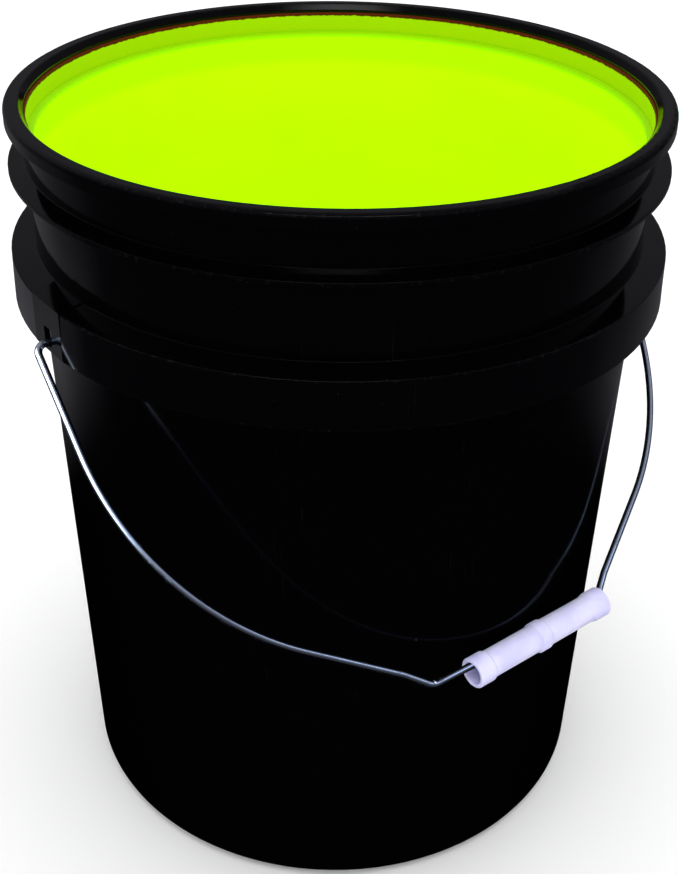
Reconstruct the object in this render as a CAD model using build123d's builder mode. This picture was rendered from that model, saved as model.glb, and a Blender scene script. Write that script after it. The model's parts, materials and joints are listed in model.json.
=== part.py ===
"""Wash bucket: an open-head moulded pail with a bonded lining, a wire bail and its grip.

Millimetres. +Z is up, the origin is the centre of the foot on the standing plane, and the bail's
hinge line runs along X. The bail is drawn where it rests, against the -Y side of the pail.
"""

import os
from math import asin, atan, cos, degrees, hypot, radians, sin, tan

from build123d import *

# Pail shell. Flanges, ledge and lining are placed down from the rim, out from the neck.
height = 366.5  # standing plane to the top of the rim
neck_r = 142.6  # outside between the bail band and the stacking ring
base_r = 132.9  # outside of the wall, carried down to the standing plane
wall = 2.3
waist_in = 0.4  # the wall at the foot of the bail band, inside the neck
upper_out = 1.4  # the neck above the stacking ring, outside the neck below it
upper_wall = 1.7
panel_drop = 24.5  # foot of the bail band down to the step over the plain panel
panel_step = 0.35
floor_t = 2.8
floor_lift = 2.5  # standing plane to the floor's underside
foot_w = 6.0  # flat width of the foot ring
foot_lead = 1.5  # slope from the foot ring up to the floor's underside
base_round = 7.5
floor_round = 8.0
gate_r = 5.0  # moulding gate under the floor's centre
gate_h = 0.8

# Rim bead, a lip folded outwards and down
bead_out = 8.4
bead_h = 6.9
bead_lip_t = 2.3
bead_top_t = 2.7
crown_in = 6.6  # from the outside of the bead to the top's inner edge
crown_round = 2.6
bevel_h = 3.2  # inner bevel below the rim

# Stacking ring, a thin flange under the rim
ring_drop = 27.2  # rim down to the top of the flange at its edge
ring_out = 8.7
ring_rise = 2.5  # from the edge up to the neck
ring_t = 2.1

# Bail band, a flange with a skirt that carries the ears
band_drop = 67.5  # rim down to the top of the flange at its edge
band_out = 11.6
band_lean = 0.4  # how far the skirt draws in towards its top
band_rise = 2.3
band_t = 2.2
skirt_t = 2.0
skirt_h = 22.5
gusset_count = 24
gusset_t = 1.6
gusset_short = 3.0  # gussets stop this far above the skirt's lower edge
gusset_clear = 20.0  # kept clear each side of an ear

# Ledge inside the mouth
ledge_drop = 15.5  # rim down to the ledge
ledge_fall = 0.6  # slope of the ledge
ledge_in = 0.8  # the ledge stands this far in from the neck's inside
ledge_band = 15.0  # height of the band that opens out again below the ledge

# Lining
lining_t = 0.8
lining_drop = 4.5

# Ears, a flat pad on the skirt with an upright slot
ear_w = 25.0
ear_proud = 0.5  # the pad's top stands this far above the band
ear_t = 2.5
hinge_up = 4.3  # hinge line above the skirt's lower edge
slot_w = 7.0
slot_above = 7.0  # from the hinge line up to the slot's top
slot_flat = 1.0  # flat at the slot's foot, between its rounded corners
slot_round = 1.0
hinge_gap = 0.3  # wire to the slot's foot

# Bail wire, all in one plane through the hinge line
wire_d = 3.4
leg_out = 5.8  # leg's centre line outside the bail band
hook_bend = 4.6
tail_bend = 3.4
tail_gap = 2.5  # tail to the back of the ear
tail_len = 7.0
shoulder_bend = 138.0
shoulder_slope = 35.1  # degrees, from the shoulder down to the kink
seat_half = 51.0
seat_depth = 201.6  # hinge line to the grip's seat
kink_rise = 10.0
kink_run = 11.6
kink_bend = 6.8

# Grip, a loose tube on the seat
grip_len = 83.0
grip_bore_r = 5.3
grip_wall = 1.2
grip_collar = 0.8  # collars stand this far out from the tube
grip_end_w = 9.0
grip_mid_w = 6.2
grip_flare = 1.2
grip_round = 0.4
grip_x = 11.5  # the grip has slid this far along the seat
grip_play = 0.3  # bore to the wire where they come nearest
grip_tip = 1.5  # degrees, its axis to the wire's seat
rest_gap = 0.3  # grip to the pail's wall at rest

# Worked out from the sizes above
wire_r = wire_d / 2
rim_r = neck_r + bead_out
ring_r = neck_r + ring_out
band_r = neck_r + band_out
upper_neck_r = neck_r + upper_out
mouth_r = upper_neck_r - upper_wall
ring_lip_z = height - ring_drop
ring_under_z = ring_lip_z - ring_t
band_lip_z = height - band_drop
band_under_z = band_lip_z - band_t
skirt_z = band_lip_z - skirt_h
hinge_z = skirt_z + hinge_up
panel_z = skirt_z - panel_drop
floor_top = floor_lift + floor_t
draft = (neck_r - waist_in - base_r) / skirt_z
floor_r = base_r + draft * floor_top - wall
neck_in_r = neck_r - wall
neck_in_z = (neck_r - base_r) / draft
ledge_r = neck_in_r - ledge_in
ledge_z = height - ledge_drop
ledge_foot_z = ledge_z - ledge_band
lining_top = height - lining_drop
foot_in_r = base_r - base_round - foot_w
pad_x = (band_r**2 - (ear_w / 2) ** 2) ** 0.5
leg_x = band_r + leg_out
tail_x = pad_x - ear_t - tail_gap - wire_r
grip_tube_r = grip_bore_r + grip_wall
grip_collar_r = grip_tube_r + grip_collar
grip_drop = grip_bore_r - wire_r - grip_play - grip_len / 2 * sin(radians(grip_tip))
grip_depth = seat_depth + grip_drop

# The bail lies where the grip meets the sloping wall.
reach = base_r + draft * hinge_z + grip_collar_r + rest_gap
rest_tilt = degrees(asin(reach / (grip_depth * hypot(1, draft))) - atan(draft))
lean = radians(rest_tilt)
bail_plane = Plane((0, 0, hinge_z), x_dir=(1, 0, 0), z_dir=(0, -cos(lean), sin(lean)))


def wall_r(z):
    """Outside radius of the tapered wall at a height, up to the panel's step."""
    return base_r + draft * z


def outline(corners):
    """Closed outline through (x, y, round) corners, filled in the active sketch."""
    with BuildLine() as edge:
        FilletPolyline(
            *[(x, y) for x, y, _ in corners],
            radius=[rounding for _, _, rounding in corners],
            close=True,
        )
    make_face(edge.edges())


def inside_corners(inset=0.0):
    """Corners of the shell's inside from the floor's centre up, or of a skin on it."""
    return [
        (0, floor_top + inset, 0),
        (floor_r - inset, floor_top + inset, floor_round - inset),
        (neck_in_r - inset, neck_in_z, 0),
        (neck_in_r - inset, ledge_foot_z, 0),
        (ledge_r - inset, ledge_z - ledge_fall + inset, 0.4),
        (mouth_r - inset, ledge_z + inset, 0),
    ]


def make_shell():
    """The one-piece moulding: wall, foot, rim bead, both flanges, gussets and ears."""
    outside = [
        (0, floor_lift - gate_h, 0),
        (gate_r, floor_lift - gate_h, 0.3),
        (gate_r, floor_lift, 0.3),
        (foot_in_r - foot_lead, floor_lift, 0.8),
        (foot_in_r, 0, 0.8),
        (base_r, 0, base_round),
        (wall_r(panel_z), panel_z, 0),
        (wall_r(panel_z) + panel_step, panel_z + panel_step, 0),
        (wall_r(band_under_z) + panel_step, band_under_z, 0.8),
        (band_r - skirt_t - band_lean, band_under_z, 0.8),
        (band_r - skirt_t, skirt_z, 0.4),
        (band_r, skirt_z, 0.4),
        (band_r - band_lean, band_lip_z, 0.6),
        (neck_r, band_lip_z + band_rise, 0.5),
        (neck_r, ring_under_z, 0.8),
        (ring_r, ring_under_z, 0.5),
        (ring_r, ring_lip_z, 0.5),
        (upper_neck_r, ring_lip_z + ring_rise, 0.5),
        (upper_neck_r, height - bead_top_t, 0.6),
        (rim_r - bead_lip_t, height - bead_top_t, 0.6),
        (rim_r - bead_lip_t, height - bead_h, 0.4),
        (rim_r, height - bead_h, 0.5),
        (rim_r, height, crown_round),
        (rim_r - crown_in, height, 1.2),
        (mouth_r, height - bevel_h, 0.6),
    ]
    with BuildPart() as shell:
        with BuildSketch(Plane.XZ):
            outline(outside + inside_corners()[::-1])
        revolve(axis=Axis.Z)
        add_gussets()
        for side in (1, -1):
            add_ear(side)
    shell.part.label = "pail_shell"
    return shell.part


def add_gussets():
    """Radial ribs in the band's channel, none of them near an ear."""
    step = 360 / gusset_count
    keep_clear = degrees(asin(gusset_clear / band_r))
    foot_z = skirt_z + gusset_short
    inner = wall_r(foot_z) - wall / 2
    length = band_r - skirt_t / 2 - band_lean - inner
    for n in range(gusset_count):
        angle = (n + 0.5) * step
        from_ear = min(angle % 180, 180 - angle % 180)
        if from_ear > keep_clear:
            spot = Location((0, 0, 0), (0, 0, angle)) * Location((inner, 0, foot_z))
            with Locations(spot):
                Box(
                    length,
                    gusset_t,
                    band_under_z + band_t / 2 - foot_z,
                    align=(Align.MIN, Align.CENTER, Align.MIN),
                )


def add_ear(side):
    """Flat pad over the band and its skirt, with the slot that carries the wire."""
    top_in = neck_r - wall / 2
    top_slope = band_rise / (band_r - band_lean - neck_r)
    pad_top = band_lip_z + ear_proud
    side_on = Plane((0, side * ear_w / 2, 0), x_dir=(side, 0, 0), z_dir=(0, -side, 0))
    with BuildSketch(side_on) as pad:
        outline(
            [
                (top_in, pad_top + (pad_x - top_in) * top_slope, 0),
                (top_in, band_under_z, 0),
                (pad_x - ear_t, band_under_z, 0),
                (pad_x - ear_t, skirt_z, 0),
                (pad_x, skirt_z, 0),
                (pad_x, pad_top, 0),
            ]
        )
    extrude(pad.sketch, amount=ear_w)
    face_on = Plane((side * pad_x, 0, 0), x_dir=(0, side, 0), z_dir=(side, 0, 0))
    with BuildSketch(face_on) as proud:
        with Locations((0, (skirt_z + band_lip_z) / 2)):
            Rectangle(ear_w, 2 * (band_lip_z - skirt_z))
    extrude(proud.sketch, amount=ear_t, mode=Mode.SUBTRACT)
    foot_round = slot_w / 2 - slot_flat / 2
    slot_foot = hinge_z - wire_r - hinge_gap
    slot_top = hinge_z + slot_above
    with BuildSketch(face_on) as slot:
        outline(
            [
                (-slot_w / 2, slot_foot, foot_round),
                (slot_w / 2, slot_foot, foot_round),
                (slot_w / 2, slot_top, slot_round),
                (-slot_w / 2, slot_top, slot_round),
            ]
        )
    extrude(slot.sketch, amount=-ear_t, mode=Mode.SUBTRACT)


def make_lining():
    """Thin skin bonded to the inside of the shell, over the floor and up to the lip."""
    outer = inside_corners() + [(mouth_r, lining_top, 0)]
    inner = inside_corners(lining_t) + [(mouth_r - lining_t, lining_top, 0.3)]
    with BuildPart() as lining:
        with BuildSketch(Plane.XZ):
            outline(outer + inner[::-1])
        revolve(axis=Axis.Z)
    lining.part.label = "inner_lining"
    return lining.part


def make_wire():
    """Round wire bent in one plane: hooked tails, legs, shoulders, kinks and seat."""
    kink_x = seat_half + kink_run
    kink_depth = seat_depth - kink_rise
    shoulder = kink_depth - (leg_x - kink_x) * tan(radians(shoulder_slope))
    right = [
        (seat_half, -seat_depth, kink_bend),
        (kink_x, -kink_depth, kink_bend),
        (leg_x, -shoulder, shoulder_bend),
        (leg_x, 0, hook_bend),
        (tail_x, 0, tail_bend),
        (tail_x, -tail_len, 0),
    ]
    corners = [(-x, y, bend) for x, y, bend in right[::-1]] + right
    with BuildPart() as wire:
        with BuildLine(bail_plane) as path:
            FilletPolyline(
                *[(x, y) for x, y, _ in corners],
                radius=[bend for _, _, bend in corners[1:-1]],
            )
        with BuildSketch(Plane(origin=path.line @ 0, z_dir=path.line % 0)):
            Circle(wire_r)
        sweep()
    wire.part.label = "bail_wire"
    return wire.part


def make_grip():
    """Moulded tube with a collar at each end and one in the middle."""
    half = grip_len / 2
    end_in = half - grip_end_w
    mid = grip_mid_w / 2
    right = [
        (mid - grip_flare / 2, grip_collar_r, grip_round),
        (mid + grip_flare / 2, grip_tube_r, grip_round),
        (end_in - grip_flare, grip_tube_r, grip_round),
        (end_in + grip_flare, grip_collar_r, grip_round),
        (half, grip_collar_r, 0.8),
        (half, grip_bore_r, 0.3),
    ]
    corners = [(-x, y, bend) for x, y, bend in right[::-1]] + right
    middle = bail_plane.from_local_coords((grip_x, -grip_depth, 0))
    tip = radians(grip_tip)
    along = bail_plane.x_dir * cos(tip) + bail_plane.y_dir * sin(tip)
    with BuildPart() as grip:
        with BuildSketch(Plane(middle, x_dir=along, z_dir=bail_plane.z_dir)):
            outline(corners)
        revolve(axis=Axis(middle, along))
    grip.part.label = "bail_grip"
    return grip.part


def main():
    os.makedirs("parts", exist_ok=True)
    for part in (make_shell(), make_lining(), make_wire(), make_grip()):
        export_step(part, f"parts/{part.label}.step")


if __name__ == "__main__":
    main()
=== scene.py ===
"""Wash bucket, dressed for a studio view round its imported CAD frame.

Sizes are in millimetres in the classes and in metres in Blender. Every piece lies in the frame's
own coordinates: +Z is up, the foot stands on z = 0, and the bail hinges about X.
"""

from __future__ import annotations

import json
import logging
import math
from dataclasses import dataclass, field
from enum import Enum

import bpy
import numpy as np
from mathutils import Matrix, Vector


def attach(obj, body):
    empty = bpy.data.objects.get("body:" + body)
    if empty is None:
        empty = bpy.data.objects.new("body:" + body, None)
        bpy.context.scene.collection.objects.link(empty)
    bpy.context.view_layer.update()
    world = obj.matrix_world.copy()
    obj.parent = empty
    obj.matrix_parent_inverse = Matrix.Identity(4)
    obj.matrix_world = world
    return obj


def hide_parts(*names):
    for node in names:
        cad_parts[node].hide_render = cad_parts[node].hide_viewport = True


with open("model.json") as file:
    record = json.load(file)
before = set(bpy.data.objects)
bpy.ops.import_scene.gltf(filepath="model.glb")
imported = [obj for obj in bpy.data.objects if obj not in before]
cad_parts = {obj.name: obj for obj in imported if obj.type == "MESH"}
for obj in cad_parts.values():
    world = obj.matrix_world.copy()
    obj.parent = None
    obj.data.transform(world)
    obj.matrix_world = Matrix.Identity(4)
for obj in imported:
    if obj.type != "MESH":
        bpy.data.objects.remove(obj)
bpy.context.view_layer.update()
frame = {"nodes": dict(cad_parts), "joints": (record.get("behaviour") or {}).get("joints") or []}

log = logging.getLogger("wash_bucket")

MM = 0.001
WHITE = (1.0, 1.0, 1.0, 1.0)

# A Map Range node that eases in and out of its span, and is held at both ends.
SMOOTH = {"interpolation_type": "SMOOTHSTEP"}

# A Mix node of colours: its share is input 0, its colours 6 and 7, and its result output 2.
COLOURS = {"out": 2, "data_type": "RGBA"}

# Two points of a line count as one when they are closer than this share of its step.
PINPOINT = 1e-3


def joint(name: str) -> tuple[np.ndarray, np.ndarray]:
    """Reads one of the frame's joints.

    Args:
        name: the joint's name.

    Returns:
        Its place in millimetres and its axis.
    """
    found = next(j for j in frame["joints"] if j["name"] == name)
    return np.array(found["pos_m"]) / MM, np.array(found["axis"])


class Body(Enum):
    """The CAD bodies that the drawn pieces ride on."""

    BAIL = "bail"
    GRIP = "grip"


class Lit(Enum):
    """The one piece that a lamp lights, as black flags keep it off the rest."""

    WIRE = "bail_wire_drawn"
    LINING = "inner_lining"
    GRIP = "bail_grip_moulding"
    SHELL = "pail_shell"
    FLOOR = "floor"


def linear(hex_colour: str) -> tuple[float, float, float, float]:
    """Turns an sRGB hex colour into linear RGBA.

    Args:
        hex_colour: the colour as "#rrggbb".

    Returns:
        Linear red, green and blue, and an alpha of one.
    """
    srgb = np.array([int(hex_colour[i : i + 2], 16) for i in (1, 3, 5)]) / 255
    line = np.where(srgb <= 0.04045, srgb / 12.92, ((srgb + 0.055) / 1.055) ** 2.4)
    return (float(line[0]), float(line[1]), float(line[2]), 1.0)


def add_node(
    tree: bpy.types.NodeTree,
    kind: str,
    inputs: tuple[object, ...] | dict[str | int, object] = (),
    out: str | int = 0,
    **settings: object,
) -> bpy.types.NodeSocket:
    """Adds one shader node, and sets or joins its inputs.

    Args:
        tree: the node tree that gets the node.
        kind: the node's type name, after "ShaderNode".
        inputs: a value or an output socket for each input, in order or by name.
        out: the output socket to give back.
        settings: properties of the node itself.

    Returns:
        The chosen output, or the first input of a node that has no output.
    """
    node = tree.nodes.new("ShaderNode" + kind)
    for name, value in settings.items():
        setattr(node, name, value)
    given = inputs if isinstance(inputs, dict) else dict(enumerate(inputs))
    for name, value in given.items():
        if isinstance(value, bpy.types.NodeSocket):
            tree.links.new(value, node.inputs[name])
        else:
            node.inputs[name].default_value = value
    return node.outputs[out] if node.outputs else node.inputs[0]


def new_material(name: str) -> tuple[bpy.types.Material, bpy.types.Node]:
    """Makes an empty node material with one Principled shader joined to its output.

    Args:
        name: the material's name.

    Returns:
        The material and its Principled node.
    """
    material = bpy.data.materials.new(name)
    material.use_nodes = True
    tree = material.node_tree
    tree.nodes.clear()
    surface = add_node(tree, "BsdfPrincipled")
    add_node(tree, "OutputMaterial", {"Surface": surface})
    return material, surface.node


def patches(
    tree: bpy.types.NodeTree,
    where: bpy.types.NodeSocket,
    grain_mm: float,
    fineness: tuple[float, float] = (2.0, 0.5),
    edge: tuple[float, float] = (0.3, 0.7),
    span: tuple[float, float] = (0.0, 1.0),
) -> bpy.types.NodeSocket:
    """Soft-edged patches, each about one grain across.

    Args:
        tree: the node tree that gets them.
        where: the coordinates they are read at, in metres.
        grain_mm: the size of one patch.
        fineness: how many finer layers the noise has, and how strong they are.
        edge: the noise values where a patch starts and where it is full.
        span: the results outside a patch and well inside one.

    Returns:
        The result's socket.
    """
    scale, (detail, roughness) = 1 / (grain_mm * MM), fineness
    noise = add_node(
        tree,
        "TexNoise",
        {"Vector": where, "Scale": scale, "Detail": detail, "Roughness": roughness},
    )
    return add_node(tree, "MapRange", (noise, *edge, *span), **SMOOTH)


def relief(
    tree: bpy.types.NodeTree,
    where: bpy.types.NodeSocket,
    grain_mm: float,
    depth_mm: float,
    detail: float,
    under: bpy.types.NodeSocket | None = None,
) -> bpy.types.NodeSocket:
    """An uneven skin: noise taken as a height, whose full range is a real depth.

    Args:
        tree: the node tree that gets it.
        where: the coordinates it is read at, in metres.
        grain_mm: the size of one lump.
        depth_mm: the depth that the whole range of the noise stands for.
        detail: how many finer layers the noise has.
        under: the normal it lies on, if there is one.

    Returns:
        The new normal's socket.
    """
    scale = 1 / (grain_mm * MM)
    noise = add_node(tree, "TexNoise", {"Vector": where, "Scale": scale, "Detail": detail})
    lies_on = {} if under is None else {"Normal": under}
    return add_node(tree, "Bump", {"Distance": depth_mm * MM, "Height": noise, **lies_on})


def dress(piece: bpy.types.Object, material: bpy.types.Material) -> None:
    """Gives a piece one material in every slot.

    Args:
        piece: the piece to dress.
        material: its finish.
    """
    if not piece.material_slots:
        piece.data.materials.append(material)
    for slot in piece.material_slots:
        slot.material = material


def closed_surface(
    name: str, points: np.ndarray, loop_across: bool, drawn: np.ndarray | None = None
) -> bpy.types.Object:
    """Makes a grid of points into one closed mesh object.

    Points [i, j] run along the first way and round the second, which always closes on itself.
    The first way closes on itself too, or each of its ends is shut by a fan to that ring's
    middle point.

    Args:
        name: the object's name.
        points: a grid of places in metres, rows along and columns round, three wide.
        loop_across: whether the rows also close on themselves.
        drawn: a vector for each point, kept as the attribute "drawn".

    Returns:
        The new object, linked to the scene.
    """
    rows, columns = points.shape[:2]
    grid = np.arange(rows * columns).reshape(rows, columns)
    onward = np.roll(grid, -1, axis=1)
    lower, upper = grid, np.roll(grid, -1, axis=0)
    lower_on, upper_on = onward, np.roll(onward, -1, axis=0)
    quads = np.stack([lower, upper, upper_on, lower_on], axis=-1)
    places = points.reshape(-1, 3)
    vectors = None if drawn is None else drawn.reshape(-1, 3)
    faces = quads.reshape(-1, 4).tolist()
    if not loop_across:
        faces = quads[:-1].reshape(-1, 4).tolist()
        ends = points[[0, -1]].mean(axis=1)
        places = np.concatenate([places, ends])
        first, last = rows * columns, rows * columns + 1
        fan = np.stack([grid[0], onward[0], np.full(columns, first)], axis=-1)
        shut = np.stack([onward[-1], grid[-1], np.full(columns, last)], axis=-1)
        faces += fan.tolist() + shut.tolist()
        if vectors is not None:
            vectors = np.concatenate([vectors, drawn[[0, -1]].mean(axis=1)])
    mesh = bpy.data.meshes.new(name)
    mesh.from_pydata(places.tolist(), [], faces)
    if vectors is not None:
        attribute = mesh.attributes.new("drawn", "FLOAT_VECTOR", "POINT")
        attribute.data.foreach_set("vector", vectors.astype(np.float32).ravel())
    mesh.polygons.foreach_set("use_smooth", np.ones(len(mesh.polygons), dtype=bool))
    mesh.update()
    mesh.validate()
    piece = bpy.data.objects.new(name, mesh)
    bpy.context.scene.collection.objects.link(piece)
    return piece


def rounded_line(corners: np.ndarray, bends: np.ndarray, step: float) -> np.ndarray:
    """Carries a point along straight runs whose corners are swapped for tangent arcs.

    At each corner the arc of that bend's radius touches both runs at the bend's radius times the
    tangent of half the turn from the corner.

    Args:
        corners: the runs' ends, in order, two wide.
        bends: an arc radius for each corner between the first and the last.
        step: the greatest distance between two points.

    Returns:
        The points in order, two wide.
    """
    run = np.diff(corners, axis=0)
    way = run / np.linalg.norm(run, axis=1, keepdims=True)
    pieces = [corners[:1]]
    for corner, bend, before, after in zip(corners[1:-1], bends, way[:-1], way[1:]):
        turn = math.atan2(
            before[0] * after[1] - before[1] * after[0], float(before @ after)
        )
        back = bend * math.tan(abs(turn) / 2)
        side = math.copysign(1.0, turn) * np.array([-before[1], before[0]])
        centre = corner - before * back + side * bend
        count = max(3, math.ceil(abs(turn) * bend / step) + 1)
        angle = np.linspace(0, turn, count)[:, None]
        spoke = -side * bend
        across = np.array([-spoke[1], spoke[0]])
        pieces.append(centre + spoke * np.cos(angle) + across * np.sin(angle))
    pieces.append(corners[-1:])
    line = np.concatenate(pieces)
    gap = np.linalg.norm(np.diff(line, axis=0), axis=1)
    keep = np.concatenate([[True], gap > step * PINPOINT])
    line = line[keep]
    along = np.concatenate(
        [[0], np.cumsum(np.linalg.norm(np.diff(line, axis=0), axis=1))]
    )
    extra = np.arange(0, along[-1], step)
    stops = np.unique(np.concatenate([along, extra]).round(9))
    return np.stack([np.interp(stops, along, line[:, k]) for k in (0, 1)], axis=-1)


@dataclass(frozen=True)
class GlossBlackMoulding:
    """Carbon-black HDPE, injection moulded in a polished tool.

    It gives a deep black with a clear but weak mirror, a fine orange peel, slow waves where the
    wall shrank, and dull hairline scuffs down the sides from nesting in other pails.
    """

    base: str = "#020203"
    scuff: str = "#0d0d0f"
    dust: str = "#2c2c30"
    gloss: float = 0.07
    scuffed_gloss: float = 0.3
    haze: float = 0.05
    dust_roughness: float = 0.5
    specular: float = 0.1
    peel_mm: float = 1.6
    peel_depth_mm: float = 0.0022
    wave_mm: float = 46.0
    wave_depth_mm: float = 0.055
    scuff_width_mm: float = 1.1
    scuff_length_mm: float = 60.0
    scuff_patch_mm: float = 38.0
    scuff_depth_mm: float = 0.004
    haze_mm: float = 75.0
    dust_mm: float = 2.6
    dust_patch_mm: float = 9.0
    nick_mm: float = 2.2
    rub_mm: tuple[float, float] = (0.4, 1.6)
    hair_edge: tuple[float, float] = (0.62, 0.74)
    nested_edge: tuple[float, float] = (0.48, 0.66)
    nick_edge: tuple[float, float] = (0.5, 0.7)
    speck_edge: tuple[float, float] = (0.03, 0.09)
    settled_edge: tuple[float, float] = (0.6, 0.68)

    def scuffs(
        self, tree: bpy.types.NodeTree, here: bpy.types.NodeSocket
    ) -> bpy.types.NodeSocket:
        """Hairlines that run down the wall, where it has been nested.

        Args:
            tree: the node tree that gets the pattern.
            here: object coordinates.

        Returns:
            The scuffs, from nought to one.
        """
        squeeze = (1, 1, self.scuff_width_mm / self.scuff_length_mm)
        down = add_node(tree, "Mapping", {"Vector": here, "Scale": squeeze})
        hairs = patches(tree, down, self.scuff_width_mm, (4.0, 0.7), self.hair_edge)
        nested = patches(tree, here, self.scuff_patch_mm, (3.0, 0.5), self.nested_edge)
        return add_node(tree, "Math", (hairs, nested), operation="MULTIPLY")

    def wear(
        self,
        tree: bpy.types.NodeTree,
        here: bpy.types.NodeSocket,
        edges: tuple[tuple[float, float], ...],
    ) -> bpy.types.NodeSocket:
        """Nicks along the edges that stand out.

        The distance is taken in the pail's section, from each point's own radius and height to
        the nearest edge's.

        Args:
            tree: the node tree that gets the pattern.
            here: object coordinates.
            edges: radius and height of each edge, in metres.

        Returns:
            The wear, from nought to one.
        """
        axes = add_node(tree, "SeparateXYZ", (here,)).node.outputs
        flat = add_node(tree, "CombineXYZ", (axes["X"], axes["Y"]))
        radius = add_node(tree, "VectorMath", (flat,), "Value", operation="LENGTH")
        section = add_node(tree, "CombineXYZ", {"X": radius, "Z": axes["Z"]})
        gaps = [
            add_node(
                tree, "VectorMath", (section, (edge_r, 0, edge_z)), "Value", operation="DISTANCE"
            )
            for edge_r, edge_z in edges
        ]
        nearest = gaps[0]
        for gap in gaps[1:]:
            nearest = add_node(tree, "Math", (nearest, gap), operation="MINIMUM")
        reach = (width * MM for width in self.rub_mm)
        rubbed = add_node(tree, "MapRange", (nearest, *reach, 1.0, 0.0), **SMOOTH)
        nicks = patches(tree, here, self.nick_mm, (5.0, 0.65), self.nick_edge)
        return add_node(tree, "Math", (rubbed, nicks), operation="MULTIPLY")

    def specks(
        self, tree: bpy.types.NodeTree, here: bpy.types.NodeSocket
    ) -> bpy.types.NodeSocket:
        """Grains of pale dust, each in the middle of a cell, in a few places.

        Args:
            tree: the node tree that gets the pattern.
            here: object coordinates.

        Returns:
            The dust, from nought to one.
        """
        scale = 1 / (self.dust_mm * MM)
        middle = add_node(tree, "TexVoronoi", {"Vector": here, "Scale": scale}, "Distance")
        grains = add_node(tree, "MapRange", (middle, *self.speck_edge, 1.0, 0.0), **SMOOTH)
        settled = patches(tree, here, self.dust_patch_mm, (2.0, 0.5), self.settled_edge)
        return add_node(tree, "Math", (grains, settled), operation="MULTIPLY")

    def make(self, edges: tuple[tuple[float, float], ...]) -> bpy.types.Material:
        """Builds the material.

        Args:
            edges: radius and height of each standing-out edge, in metres, where it rubs first.

        Returns:
            The material.
        """
        material, shader = new_material("gloss_black_hdpe")
        tree = material.node_tree
        here = add_node(tree, "TexCoord", out="Object")
        marks = add_node(
            tree,
            "Math",
            (self.scuffs(tree, here), self.wear(tree, here, edges)),
            operation="MAXIMUM",
        )
        dusty = self.specks(tree, here)

        colour = add_node(
            tree, "Mix", {0: marks, 6: linear(self.base), 7: linear(self.scuff)}, **COLOURS
        )
        colour = add_node(tree, "Mix", {0: dusty, 6: colour, 7: linear(self.dust)}, **COLOURS)
        tree.links.new(colour, shader.inputs["Base Color"])

        haze = patches(tree, here, self.haze_mm, (3.0, 0.5), span=(0.0, self.haze))
        dulled = add_node(
            tree, "MapRange", (marks, 0.0, 1.0, self.gloss, self.scuffed_gloss), **SMOOTH
        )
        rough = add_node(tree, "Math", (dulled, haze), operation="ADD")
        powdery = add_node(
            tree, "MapRange", (dusty, 0.0, 1.0, 0.0, self.dust_roughness), **SMOOTH
        )
        rough = add_node(tree, "Math", (rough, powdery), operation="ADD")
        tree.links.new(rough, shader.inputs["Roughness"])

        normal = relief(tree, here, self.wave_mm, self.wave_depth_mm, 1.0)
        normal = relief(tree, here, self.peel_mm, self.peel_depth_mm, 3.0, normal)
        depth = self.scuff_depth_mm * MM
        normal = add_node(tree, "Bump", {"Distance": depth, "Height": marks, "Normal": normal})
        tree.links.new(normal, shader.inputs["Normal"])
        shader.inputs["IOR"].default_value = 1.5
        shader.inputs["Specular IOR Level"].default_value = self.specular
        return material


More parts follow.
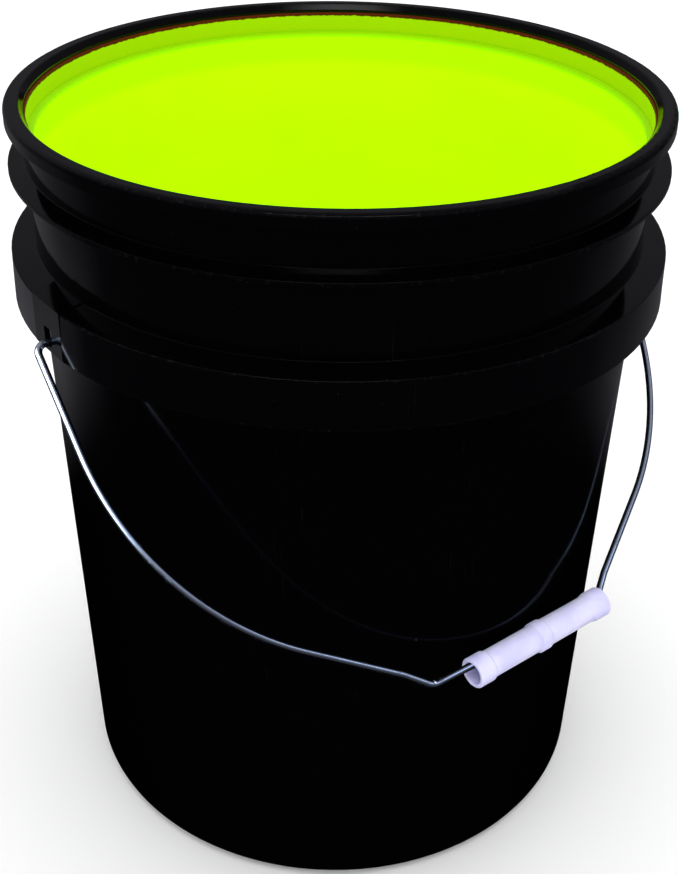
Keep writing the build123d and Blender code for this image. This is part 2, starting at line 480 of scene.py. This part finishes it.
@dataclass(frozen=True)
class FluorescentLining:
    """Fluorescent lime polyethylene skin, blow moulded and bonded into the pail.

    The day-glow pigment gives an even, very bright yellow-green under a fine satin skin; a
    painted lime emission makes it glow though it is no lamp, standing in for the pigment's
    fluorescence, so it hardly shades. Near the mouth it is painted darker as painted shade, and a
    ragged rust-brown fringe of painted shade runs along its cut edge, where it meets the black
    rim.
    """

    base: str = "#cffb00"
    deep: str = "#bdf400"
    # Painted shade: the duller band below the ledge, the dark line at the ledge and the darker
    # band above it near the mouth.
    belt_shade: str = "#bce900"
    step: str = "#96d400"
    mouth_shade: str = "#aece00"
    # Painted shade: a ragged rust-brown fringe along the cut edge, where the skin meets the black
    # rim.
    fringe_shade: str = "#591d08"
    # Painted light: a lime emission that makes the skin glow though it is no lamp, in place of
    # its fluorescence.
    glow: str = "#bcff00"
    glow_strength: float = 0.22
    roughness: float = 0.55
    specular: float = 0.05
    cloud_mm: float = 60.0
    # Spans of the painted shade bands, in millimetres from the ledge.
    belt_shade_mm: tuple[float, float] = (-19.0, -11.0)
    mouth_shade_mm: tuple[float, float] = (-1.6, 1.2)
    ledge_shade_mm: tuple[float, float] = (0.4, 2.4)
    # Reach and fade of the painted-shade fringe below the cut edge, in millimetres.
    fringe_shade_height_mm: float = 1.7
    fringe_shade_fade_mm: tuple[float, float] = (-0.15, 0.25)
    ragged_mm: float = 1.6
    ragged_grain_mm: float = 2.4
    sheen_mm: float = 22.0
    grain_mm: float = 0.9
    grain_depth_mm: float = 0.004
    dimple_mm: float = 35.0
    dimple_depth_mm: float = 0.05

    def colour(
        self, tree: bpy.types.NodeTree, here: bpy.types.NodeSocket, ledge: float
    ) -> tuple[bpy.types.NodeSocket, bpy.types.NodeSocket, bpy.types.NodeSocket]:
        """The skin's colour by height: clouded lime, then painted shade: a duller band below the
        ledge, a dark line at the ledge, and a darker band above it near the mouth.

        Args:
            tree: the node tree that gets it.
            here: object coordinates.
            ledge: the height above which the skin is painted darker, as painted shade.

        Returns:
            The colour, the height, and the share of painted shade above the ledge.
        """
        height = add_node(tree, "SeparateXYZ", (here,), "Z")
        # Painted shade: the masks for a darker band below the ledge, a dark line at the ledge and
        # a darker band above it near the mouth.
        belt_shade_from, belt_shade_to = (ledge + offset * MM for offset in self.belt_shade_mm)
        mouth_shade_from, mouth_shade_to = (ledge + offset * MM for offset in self.mouth_shade_mm)
        near, far = (offset * MM for offset in self.ledge_shade_mm)
        belt_shade = add_node(tree, "MapRange", (height, belt_shade_from, belt_shade_to, 0.0, 1.0), **SMOOTH)
        mouth_shade = add_node(tree, "MapRange", (height, mouth_shade_from, mouth_shade_to, 0.0, 1.0), **SMOOTH)
        up = add_node(tree, "MapRange", (height, ledge - far, ledge - near, 0.0, 1.0), **SMOOTH)
        down = add_node(tree, "MapRange", (height, ledge + near, ledge + far, 1.0, 0.0), **SMOOTH)
        step = add_node(tree, "Math", (up, down), operation="MULTIPLY")
        cloud = patches(tree, here, self.cloud_mm, (3.0, 0.5), (0.35, 0.75), (0.0, 0.35))
        colour = linear(self.base)
        for share, tone in (
            (cloud, self.deep),
            (belt_shade, self.belt_shade),
            (mouth_shade, self.mouth_shade),
            (step, self.step),
        ):
            colour = add_node(tree, "Mix", {0: share, 6: colour, 7: linear(tone)}, **COLOURS)
        return colour, height, mouth_shade

    def make(self, top: float, ledge: float) -> bpy.types.Material:
        """Builds the material.

        A ragged rust-brown fringe of painted shade lies where the depth below the cut edge is
        less than a ragged reach.

        Args:
            top: the height of the lining's cut edge, in metres.
            ledge: the height above which the skin is painted darker, as painted shade.

        Returns:
            The material.
        """
        material, shader = new_material("fluorescent_lime_skin")
        tree = material.node_tree
        here = add_node(tree, "TexCoord", out="Object")
        colour, height, mouth_shade = self.colour(tree, here, ledge)

        # Painted shade: a ragged rust-brown fringe along the cut edge, where the skin meets the
        # black rim.
        noise = {"Scale": 1 / (self.ragged_grain_mm * MM), "Detail": 4.0, "Roughness": 0.6}
        ragged = add_node(tree, "TexNoise", {"Vector": here, **noise})
        least = (self.fringe_shade_height_mm - self.ragged_mm / 2) * MM
        reach = add_node(
            tree, "Math", (ragged, self.ragged_mm * MM, least), operation="MULTIPLY_ADD"
        )
        below = add_node(tree, "Math", (top, height), operation="SUBTRACT")
        within = add_node(tree, "Math", (reach, below), operation="SUBTRACT")
        fade = (offset * MM for offset in self.fringe_shade_fade_mm)
        fringe_shade = add_node(tree, "MapRange", (within, *fade, 0.0, 1.0), **SMOOTH)
        colour = add_node(tree, "Mix", {0: fringe_shade, 6: colour, 7: linear(self.fringe_shade)}, **COLOURS)
        tree.links.new(colour, shader.inputs["Base Color"])

        # Painted light: a lime emission makes the skin glow though it is no lamp; it is off in
        # the painted shade above the ledge and at the fringe.
        unlit = add_node(tree, "Math", (fringe_shade, mouth_shade), operation="MAXIMUM")
        bright = add_node(
            tree, "MapRange", (unlit, 0.0, 1.0, self.glow_strength, 0.0), **SMOOTH
        )
        shader.inputs["Emission Color"].default_value = linear(self.glow)
        tree.links.new(bright, shader.inputs["Emission Strength"])
        span = (self.roughness - 0.05, self.roughness + 0.08)
        rough = patches(tree, here, self.sheen_mm, (3.0, 0.5), span=span)
        tree.links.new(rough, shader.inputs["Roughness"])
        normal = relief(tree, here, self.dimple_mm, self.dimple_depth_mm, 1.0)
        normal = relief(tree, here, self.grain_mm, self.grain_depth_mm, 2.0, normal)
        tree.links.new(normal, shader.inputs["Normal"])
        shader.inputs["IOR"].default_value = 1.5
        shader.inputs["Specular IOR Level"].default_value = self.specular
        return material


@dataclass(frozen=True)
class ZincPlatedWire:
    """Low-carbon steel wire, drawn through dies and bright zinc plated.

    The plate is a clean blue-white metal with soft streaks along the wire from the drawing dies
    and a few dull specks.
    """

    base: str = "#c6d2e4"
    dull: str = "#8295b0"
    roughness: float = 0.17
    dull_roughness: float = 0.34
    streak_mm: float = 0.35
    streak_length_mm: float = 45.0
    streak_depth_mm: float = 0.006
    streak_share: float = 0.45
    streak_edge: tuple[float, float] = (0.4, 0.7)
    blotch_mm: float = 4.5
    blotch_share: float = 0.5
    blotch_edge: tuple[float, float] = (0.5, 0.72)

    def make(self) -> bpy.types.Material:
        """Builds the material from the wire's own "drawn" coordinates.

        Returns:
            The material.
        """
        material, shader = new_material("bright_zinc_plate")
        tree = material.node_tree
        own = add_node(tree, "Attribute", out="Vector", attribute_name="drawn")
        squeeze = (1, 1, self.streak_mm / self.streak_length_mm)
        along = add_node(tree, "Mapping", {"Vector": own, "Scale": squeeze})
        noise = {"Scale": 1 / (self.streak_mm * MM), "Detail": 3.0, "Roughness": 0.6}
        streaks = add_node(tree, "TexNoise", {"Vector": along, **noise})
        drawn = add_node(
            tree, "MapRange", (streaks, *self.streak_edge, 0.0, self.streak_share), **SMOOTH
        )
        span = (0.0, self.blotch_share)
        blotch = patches(tree, own, self.blotch_mm, (4.0, 0.6), self.blotch_edge, span)
        mix = add_node(tree, "Math", (drawn, blotch), operation="ADD")
        colour = add_node(
            tree, "Mix", {0: mix, 6: linear(self.base), 7: linear(self.dull)}, **COLOURS
        )
        tree.links.new(colour, shader.inputs["Base Color"])
        rough = add_node(
            tree, "MapRange", (mix, 0.0, 1.0, self.roughness, self.dull_roughness), **SMOOTH
        )
        tree.links.new(rough, shader.inputs["Roughness"])
        depth = self.streak_depth_mm * MM
        normal = add_node(tree, "Bump", {"Distance": depth, "Height": streaks})
        tree.links.new(normal, shader.inputs["Normal"])
        shader.inputs["Metallic"].default_value = 1.0
        return material


@dataclass(frozen=True)
class NaturalGripMoulding:
    """Natural polyethylene with a little white and optical blue, injection moulded.

    Light goes a few millimetres into it, so it looks milky with soft bluish shade, under a dull
    waxy skin.
    """

    base: str = "#d2d0f2"
    shade: str = "#c6c4ea"
    roughness: float = 0.4
    grain_mm: float = 0.6
    grain_depth_mm: float = 0.01
    sink_mm: float = 9.0
    sink_depth_mm: float = 0.04
    sheen_mm: float = 7.0
    cloud_mm: float = 12.0
    milkiness: float = 0.6
    light_depth_mm: float = 1.6
    light_spread: tuple[float, float, float] = (1.0, 0.95, 1.3)

    def make(self) -> bpy.types.Material:
        """Builds the material.

        Returns:
            The material.
        """
        material, shader = new_material("natural_polyethylene")
        tree = material.node_tree
        here = add_node(tree, "TexCoord", out="Object")
        cloud = patches(tree, here, self.cloud_mm, (3.0, 0.5), (0.35, 0.7))
        colour = add_node(
            tree, "Mix", {0: cloud, 6: linear(self.base), 7: linear(self.shade)}, **COLOURS
        )
        tree.links.new(colour, shader.inputs["Base Color"])
        span = (self.roughness - 0.06, self.roughness + 0.08)
        rough = patches(tree, here, self.sheen_mm, (3.0, 0.5), span=span)
        tree.links.new(rough, shader.inputs["Roughness"])
        normal = relief(tree, here, self.grain_mm, self.grain_depth_mm, 3.0)
        normal = relief(tree, here, self.sink_mm, self.sink_depth_mm, 1.0, normal)
        tree.links.new(normal, shader.inputs["Normal"])
        shader.inputs["IOR"].default_value = 1.5
        shader.inputs["Subsurface Weight"].default_value = self.milkiness
        shader.inputs["Subsurface Radius"].default_value = self.light_spread
        shader.inputs["Subsurface Scale"].default_value = self.light_depth_mm * MM
        return material


@dataclass(frozen=True)
class PaleFloorPaint:
    """Matt white studio floor paint, rolled: almost even, with no gloss."""

    base: str = "#fdfdfd"
    shade: str = "#f9f9fa"
    cloud_mm: float = 400.0

    def make(self) -> bpy.types.Material:
        """Builds the material.

        Returns:
            The material.
        """
        material, shader = new_material("pale_floor")
        tree = material.node_tree
        here = add_node(tree, "TexCoord", out="Object")
        cloud = patches(tree, here, self.cloud_mm, span=(0.0, 0.4))
        colour = add_node(
            tree, "Mix", {0: cloud, 6: linear(self.base), 7: linear(self.shade)}, **COLOURS
        )
        tree.links.new(colour, shader.inputs["Base Color"])
        shader.inputs["Roughness"].default_value = 0.9
        shader.inputs["Specular IOR Level"].default_value = 0.0
        return material


@dataclass
class Pail:
    """The one-piece black moulding and the lime skin inside it."""

    height: float = 366.5
    rim_r: float = 151.0
    rim_round: float = 0.8
    crown_in: float = 6.6
    ring: tuple[float, float] = (151.3, 338.3)
    band_top: tuple[float, float] = (153.6, 299.0)
    band_foot: tuple[float, float] = (154.2, 276.5)
    foot: tuple[float, float] = (130.7, 2.2)
    lining_top: float = 362.0
    ledge_z: float = 351.0
    moulding: GlossBlackMoulding = field(default_factory=GlossBlackMoulding)
    skin: FluorescentLining = field(default_factory=FluorescentLining)

    def build(self) -> list[bpy.types.Object]:
        """Dresses the shell and the lining.

        Returns:
            The dressed pieces.
        """
        shell, lining = frame["nodes"]["pail_shell"], frame["nodes"]["inner_lining"]
        edges = (
            (self.rim_r - self.rim_round, self.height - self.rim_round),
            (self.rim_r - self.crown_in, self.height),
            self.ring,
            self.band_top,
            self.band_foot,
            self.foot,
        )
        in_metres = tuple((radius * MM, height * MM) for radius, height in edges)
        dress(shell, self.moulding.make(in_metres))
        dress(lining, self.skin.make(self.lining_top * MM, self.ledge_z * MM))
        return [shell, lining]


@dataclass
class Bail:
    """The wire bail: one round wire bent in a plane that hangs from the hinge line."""

    wire_d: float = 3.4
    leg_x: float = 160.0
    hook_bend: float = 4.6
    tail_bend: float = 3.4
    tail_x: float = 146.993
    tail_len: float = 7.0
    shoulder_bend: float = 138.0
    shoulder_slope: float = 35.1
    seat_half: float = 51.0
    seat_depth: float = 201.6
    kink_rise: float = 10.0
    kink_run: float = 11.6
    kink_bend: float = 6.8
    sides: int = 32
    step: float = 0.9
    nose: float = 0.35
    plate: ZincPlatedWire = field(default_factory=ZincPlatedWire)

    def axes(self) -> tuple[np.ndarray, np.ndarray, np.ndarray, np.ndarray]:
        """Reads the bail's plane off its two joints.

        Its X is the hinge line, and its Y points from the grip's middle straight up to that line.

        Returns:
            The plane's origin on the hinge line, its X, its Y and its normal, in millimetres.
        """
        origin = joint("bail_swing")[0]
        across = np.array([1.0, 0.0, 0.0])
        upward = (origin - joint("grip_spin")[0]) * (0, 1, 1)
        upward /= np.linalg.norm(upward)
        return origin, across, upward, np.cross(across, upward)

    def centre_line(self) -> np.ndarray:
        """The wire's line in the bail plane, from the left tail to the right one.

        Its right half runs along the seat, up the kink, up the slope, up the leg, in through the
        ear and down the tail, and its left half is the mirror of that.

        Returns:
            The points in order, two wide, in millimetres.
        """
        kink_x = self.seat_half + self.kink_run
        kink_depth = self.seat_depth - self.kink_rise
        fall = (self.leg_x - kink_x) * math.tan(math.radians(self.shoulder_slope))
        right = np.array(
            [
                (self.seat_half, -self.seat_depth),
                (kink_x, -kink_depth),
                (self.leg_x, fall - kink_depth),
                (self.leg_x, 0),
                (self.tail_x, 0),
                (self.tail_x, -self.tail_len),
            ]
        )
        bends = np.array(
            [
                self.kink_bend,
                self.kink_bend,
                self.shoulder_bend,
                self.hook_bend,
                self.tail_bend,
            ]
        )
        left = right[::-1] * (-1, 1)
        corners = np.concatenate([left, right])
        return rounded_line(corners, np.concatenate([bends[::-1], bends]), self.step)

    def wire(self) -> bpy.types.Object:
        """Carries a circle along the line, with both cut ends rounded off.

        A ring's point is the line's point plus the radius times (cosine of the turn along the
        plane's normal, sine of the turn along the line's own side). Near each end the radius
        falls as a quarter ellipse over a short nose.

        Returns:
            The wire.
        """
        origin, across, upward, normal = self.axes()
        line = self.centre_line()
        way = np.gradient(line, axis=0)
        way /= np.linalg.norm(way, axis=1, keepdims=True)
        along = np.concatenate(
            [[0], np.cumsum(np.linalg.norm(np.diff(line, axis=0), axis=1))]
        )
        nose, end = self.nose, along[-1]
        eased = np.array([0.0, 0.1, 0.35, 0.7, 1.0]) * nose
        between = along[(along > nose) & (along < end - nose)]
        stops = np.unique(np.concatenate([eased, between, end - eased]))
        line = np.stack([np.interp(stops, along, line[:, k]) for k in (0, 1)], axis=-1)
        way = np.stack([np.interp(stops, along, way[:, k]) for k in (0, 1)], axis=-1)
        way /= np.linalg.norm(way, axis=1, keepdims=True)
        from_end = np.minimum(stops, stops[-1] - stops)
        fall = np.clip(1 - from_end / nose, 0, 1)
        radius = self.wire_d / 2 - nose * (1 - np.sqrt(1 - fall**2))
        spine = origin + line[:, :1] * across + line[:, 1:] * upward
        beside = -way[:, 1:] * across + way[:, :1] * upward
        turn = np.linspace(0, 2 * np.pi, self.sides, endpoint=False)
        spokes = (
            np.cos(turn)[None, :, None] * normal
            + np.sin(turn)[None, :, None] * beside[:, None, :]
        )
        points = spine[:, None, :] + radius[:, None, None] * spokes
        drawn = np.stack(
            np.broadcast_arrays(
                radius[:, None] * np.cos(turn),
                radius[:, None] * np.sin(turn),
                stops[:, None],
            ),
            axis=-1,
        )
        return closed_surface("bail_wire_drawn", points * MM, False, drawn * MM)

    def build(self) -> list[bpy.types.Object]:
        """Makes, dresses and hangs the wire.

        Returns:
            The wire, in a list.
        """
        wire = self.wire()
        dress(wire, self.plate.make())
        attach(wire, Body.BAIL.value)
        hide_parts("bail_wire")
        return [wire]


@dataclass
class Grip:
    """The loose moulded tube on the bail's seat."""

    bail: Bail
    length: float = 83.0
    bore_r: float = 5.3
    wall: float = 1.2
    collar: float = 0.8
    end_w: float = 9.0
    mid_w: float = 6.2
    step_run: float = 0.5
    bell_run: float = 1.4
    corner_rounds: tuple[float, ...] = (0.3, 0.7, 0.5, 0.5, 0.35, 0.35)
    parting: float = 0.07
    parting_w: float = 0.35
    skin: tuple[float, float] = (0.6, 0.4)
    sides: int = 144
    step: float = 0.4
    plastic: NaturalGripMoulding = field(default_factory=NaturalGripMoulding)

    def profile(self) -> np.ndarray:
        """The closed outline of the wall, as (along, radius) points in order.

        It runs out along the bore and back over the tube and its three collars, and each corner
        is swapped for an arc.

        Returns:
            The points, two wide, with the first not repeated.
        """
        half = self.length / 2
        tube = self.bore_r + self.wall
        top = tube + self.collar
        end_in = half - self.end_w
        mid = self.mid_w / 2
        right, left = (
            np.array(
                [
                    (half, self.bore_r),
                    (half, top),
                    (end_in + run, top),
                    (end_in - run, tube),
                    (mid + self.step_run, tube),
                    (mid - self.step_run, top),
                ]
            )
            for run in (self.bell_run, self.step_run)
        )
        left = left[::-1] * (-1, 1)
        loop = np.concatenate([[[0, self.bore_r]], right, left, [[0, self.bore_r]]])
        bends = np.array(self.corner_rounds)
        return rounded_line(loop, np.concatenate([bends, bends[::-1]]), self.step)[:-1]

    def tube(self) -> bpy.types.Object:
        """Turns the outline about the grip's axis, with a fine parting ridge on two sides.

        A point lies at its distance along the axis, plus its radius times (cosine, sine) of the
        turn. Outside the wall's inner skin the radius gains a bell-shaped ridge where the mould
        halves met.

        Returns:
            The tube.
        """
        middle, along = joint("grip_spin")
        normal = self.bail.axes()[3]
        side = np.cross(normal, along)
        side /= np.linalg.norm(side)
        along = np.cross(side, normal)
        outline = self.profile()
        turn = np.linspace(0, 2 * np.pi, self.sides, endpoint=False)
        off = np.abs((turn + np.pi / 2) % np.pi - np.pi / 2)
        inner, rise = self.skin
        outside = np.clip((outline[:, 1] - self.bore_r - inner) / rise, 0, 1)
        arc = off[None, :] * outline[:, 1:]
        ridge = self.parting * outside[:, None] * np.exp(-((arc / self.parting_w) ** 2))
        radius = outline[:, 1:] + ridge - self.parting * outside[:, None]
        spokes = (
            np.cos(turn)[None, :, None] * side + np.sin(turn)[None, :, None] * normal
        )
        points = (
            middle + outline[:, :1, None] * along + radius[:, :, None] * spokes
        )
        return closed_surface("bail_grip_moulding", points * MM, True)

    def build(self) -> list[bpy.types.Object]:
        """Makes, dresses and mounts the tube.

        Returns:
            The tube, in a list.
        """
        tube = self.tube()
        dress(tube, self.plastic.make())
        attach(tube, Body.GRIP.value)
        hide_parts("bail_grip")
        tube.visible_glossy = False
        return [tube]


@dataclass
class SoftBox:
    """A flat oblong lamp that faces a point inside the pail's height and lights one piece."""

    name: str
    bearing: float
    rise: float
    reach: float
    width: float
    height: float
    watts: float
    lit: Lit
    tint: str = "#ffffff"

    def place(self, aim: Vector) -> bpy.types.Object:
        """Hangs the lamp at its bearing and rise from the aim, facing it.

        Args:
            aim: the point the lamp faces, in metres.

        Returns:
            The lamp.
        """
        data = bpy.data.lights.new(self.name, "AREA")
        data.shape = "RECTANGLE"
        data.size, data.size_y = self.width, self.height
        data.energy = self.watts
        data.color = linear(self.tint)[:3]
        lamp = bpy.data.objects.new(self.name, data)
        bpy.context.scene.collection.objects.link(lamp)
        turn, rise = math.radians(self.bearing), math.radians(self.rise)
        away = Vector(
            (
                math.sin(turn) * math.cos(rise),
                math.cos(turn) * math.cos(rise),
                math.sin(rise),
            )
        )
        lamp.matrix_world = Matrix.Translation(
            aim + away * self.reach
        ) @ away.to_track_quat("Z", "Y").to_matrix().to_4x4()
        lamp.visible_camera = False
        chosen = bpy.data.collections.new(self.name + "_lights")
        chosen.objects.link(bpy.data.objects[self.lit.value])
        lamp.light_linking.receiver_collection = chosen
        return lamp


@dataclass
class Studio:
    """Floor, lights, surroundings and camera."""

    focal: float = 55.85
    shift: tuple[float, float] = (0.0025, -0.0833)
    bearing: float = 36.5
    pitch: float = 29.32
    roll: float = 0.72
    distance: float = 0.6009
    eye_height: float = 0.5579
    floor_rings: tuple[float, ...] = (0.3, 1.0, 3.0, 9.0)
    floor_sides: int = 96
    matt_glow: float = 1.12
    front_glow: float = 0.06
    back_glow: float = 0.1
    depth_span: tuple[float, float] = (0.2, 0.9)
    left_glow: float = 0.24
    right_glow: float = 0.07
    wall_from: tuple[float, float] = (0.35, 0.7)
    wall_reach: tuple[float, float] = (0.04, 0.3)
    wall_head: tuple[float, float] = (-0.47, -0.39)
    wall_head_share: float = 0.4
    skirting: tuple[float, float] = (-0.57, -0.47)
    ceiling_glow: float = 0.33
    ceiling_span: tuple[float, float] = (0.05, 0.75)
    room: str = "#eceaf6"
    cool: str = "#b9cdf2"
    aim: tuple[float, float, float] = (0.0, 0.0, 0.2)

    def camera(self) -> None:
        """Places the camera at its bearing, distance and height, pitched down at the pail."""
        data = bpy.data.cameras.new("camera")
        data.lens = self.focal
        data.shift_x, data.shift_y = self.shift
        data.clip_start, data.clip_end = 0.01, 50
        camera = bpy.data.objects.new("camera", data)
        bpy.context.scene.collection.objects.link(camera)
        turn, tip = math.radians(self.bearing), math.radians(self.pitch)
        level = Vector((math.sin(turn), math.cos(turn), 0))
        right = Vector((math.cos(turn), -math.sin(turn), 0))
        ahead = level * math.cos(tip) - Vector((0, 0, math.sin(tip)))
        up = right.cross(ahead)
        roll = math.radians(self.roll)
        across = right * math.cos(roll) + up * math.sin(roll)
        upward = up * math.cos(roll) - right * math.sin(roll)
        place = Vector((0, 0, self.eye_height)) - level * self.distance
        axes = Matrix((across, upward, -ahead)).transposed().to_4x4()
        camera.matrix_world = Matrix.Translation(place) @ axes
        bpy.context.scene.camera = camera

    def surroundings(self) -> None:
        """White walls to the eye and to matt surfaces, and a dim room to glossy ones.

        The dim room is grey beside the pail, behind it and above it and dark in front of it, as
        black flags round the camera leave it. Each span is of the cosine between a ray and the
        way behind the pail, beside it or straight up.
        """
        world = bpy.data.worlds.new("studio")
        world.use_nodes = True
        tree = world.node_tree
        tree.nodes.clear()
        way = add_node(tree, "TexCoord", out="Generated")
        sine, cosine = math.sin(math.radians(self.bearing)), math.cos(math.radians(self.bearing))
        dot = {"out": "Value", "operation": "DOT_PRODUCT"}
        behind = add_node(tree, "VectorMath", (way, (sine, cosine, 0.0)), **dot)
        beside = add_node(tree, "VectorMath", (way, (cosine, -sine, 0.0)), **dot)
        rise = add_node(tree, "SeparateXYZ", (way,), "Z")

        near, full = self.wall_from
        left = add_node(tree, "MapRange", (beside, -near, -full, 0.0, self.left_glow), **SMOOTH)
        right = add_node(tree, "MapRange", (beside, near, full, 0.0, self.right_glow), **SMOOTH)
        walls = add_node(tree, "Math", (left, right), operation="ADD")
        reach = add_node(tree, "MapRange", (behind, *self.wall_reach, 0.0, 1.0), **SMOOTH)
        walls = add_node(tree, "Math", (walls, reach), operation="MULTIPLY")
        head = (rise, *self.wall_head, 1.0, self.wall_head_share)
        head = add_node(tree, "MapRange", head, **SMOOTH)
        walls = add_node(tree, "Math", (walls, head), operation="MULTIPLY")
        depth = (behind, *self.depth_span, self.front_glow, self.back_glow)
        dim = add_node(tree, "MapRange", depth, **SMOOTH)
        dim = add_node(tree, "Math", (dim, walls), operation="ADD")
        skirting = add_node(tree, "MapRange", (rise, *self.skirting, 0.0, 1.0), **SMOOTH)
        dim = add_node(tree, "Math", (dim, skirting), operation="MULTIPLY")
        ceiling = (rise, *self.ceiling_span, 0.0, self.ceiling_glow)
        ceiling = add_node(tree, "MapRange", ceiling, **SMOOTH)
        dim = add_node(tree, "Math", (dim, ceiling), operation="ADD")

        ray = add_node(tree, "LightPath").node.outputs
        matt = add_node(tree, "Background", (WHITE, self.matt_glow))
        glossy = add_node(tree, "Background", (linear(self.room), dim))
        seen = add_node(tree, "Background", (WHITE, 1.0))
        lit = add_node(tree, "MixShader", (ray["Is Glossy Ray"], matt, glossy))
        both = add_node(tree, "MixShader", (ray["Is Camera Ray"], lit, seen))
        add_node(tree, "OutputWorld", {"Surface": both})
        world.cycles.sampling_method = "NONE"
        bpy.context.scene.world = world
        bpy.context.scene.view_settings.view_transform = "Standard"

    def lights(self) -> None:
        """Hangs the lamps, each kept to one piece by black flags."""
        aim = Vector(self.aim)
        back = self.bearing
        boxes = [
            SoftBox("overhead", back + 180, 72, 1.5, 0.9, 0.7, 4.4, Lit.LINING),
            SoftBox("edge_light", back + 180, 60, 1.4, 0.8, 0.05, 1.5, Lit.SHELL),
            SoftBox("grip_front", back + 180, 68, 1.2, 0.8, 0.7, 8.5, Lit.GRIP),
            SoftBox("wire_front", back + 180, 42, 1.3, 0.7, 0.25, 2.0, Lit.WIRE, self.cool),
            SoftBox("wire_left", back - 132, 30, 1.2, 1.4, 0.9, 26.0, Lit.WIRE),
            SoftBox("wire_right", back + 105, 24, 1.5, 0.25, 1.0, 1.6, Lit.WIRE, self.cool),
            SoftBox("floor_wash", back + 180, 85, 2.2, 3.0, 3.0, 16.0, Lit.FLOOR),
        ]
        for box in boxes:
            box.place(aim)

    def floor(self) -> bpy.types.Object:
        """Lays a flat round floor: each point is a radius at a turn about the pail's axis.

        Returns:
            The floor.
        """
        radius = np.array(self.floor_rings)
        turn = np.linspace(0, 2 * np.pi, self.floor_sides, endpoint=False)
        rings = np.stack(
            [
                radius[:, None] * np.cos(turn),
                radius[:, None] * np.sin(turn),
                np.zeros((radius.size, turn.size)),
            ],
            axis=-1,
        )
        count = turn.size
        grid = np.arange(radius.size * count).reshape(radius.size, count)
        onward = np.roll(grid, -1, axis=1)
        quads = np.stack([grid[:-1], grid[1:], onward[1:], onward[:-1]], axis=-1)
        faces = [grid[0].tolist()] + quads.reshape(-1, 4).tolist()
        mesh = bpy.data.meshes.new("floor")
        mesh.from_pydata(rings.reshape(-1, 3).tolist(), [], faces)
        floor = bpy.data.objects.new("floor", mesh)
        bpy.context.scene.collection.objects.link(floor)
        dress(floor, PaleFloorPaint().make())
        floor.visible_glossy = False
        return floor

    def build(self) -> list[bpy.types.Object]:
        """Sets up the camera, the surroundings, the lamps and the floor.

        Returns:
            The floor, in a list.
        """
        floor = self.floor()
        self.camera()
        self.surroundings()
        self.lights()
        return [floor]


def main() -> None:
    """Builds the studio and the object's pieces, and reports each one."""
    logging.basicConfig(level=logging.INFO, format="%(message)s")
    bail = Bail()
    for group in (Pail(), bail, Grip(bail), Studio()):
        for piece in group.build():
            faces = len(piece.data.polygons)
            log.info("%s: %s, %d faces", type(group).__name__, piece.name, faces)


if __name__ == "__main__":
    main()
